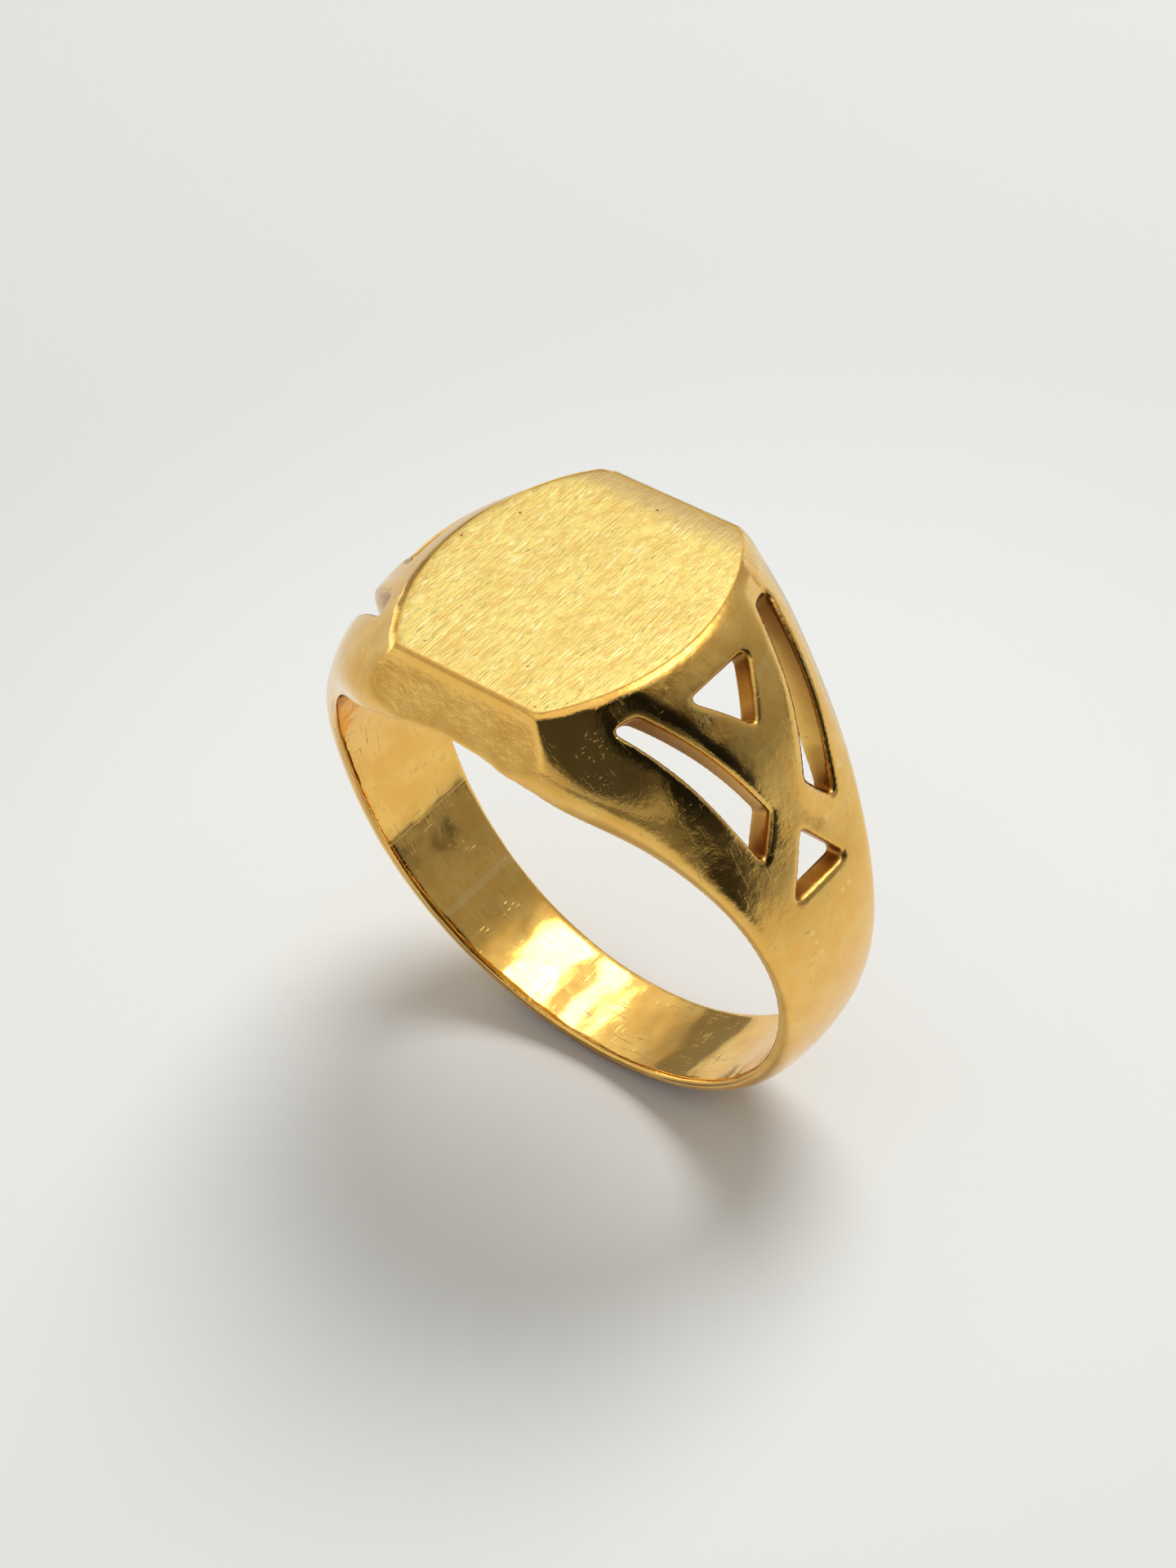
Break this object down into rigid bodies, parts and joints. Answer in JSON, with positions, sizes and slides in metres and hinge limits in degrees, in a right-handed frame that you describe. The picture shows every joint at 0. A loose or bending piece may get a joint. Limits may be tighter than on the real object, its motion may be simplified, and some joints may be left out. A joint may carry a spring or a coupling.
{
  "type": "signet ring",
  "caption": "Gold signet ring with a brushed barrel-shaped flat top, a hollow head, pierced shoulders and a thin tapering band.",
  "frame": {"origin": "centre of the finger hole, midway along it", "axes": "+Z towards the flat table, Y along the finger, X across it from shoulder to shoulder"},
  "size_m": [0.0208, 0.0129, 0.0219],
  "materials": {
    "brushed_gold": "brushed yellow gold",
    "satin_gold": "satin yellow gold",
    "polished_gold": "polished yellow gold",
    "gold_solder": "gold solder, slightly duller"
  },
  "bodies": {
    "root": {"table_plate": "brushed_gold", "front_cheek": "satin_gold", "back_cheek": "satin_gold", "left_shoulder": "satin_gold", "right_shoulder": "satin_gold", "shank": "polished_gold", "table_solder": "gold_solder", "cheek_solder": "gold_solder", "shank_solder": "gold_solder"}
  },
  "joints": []
}
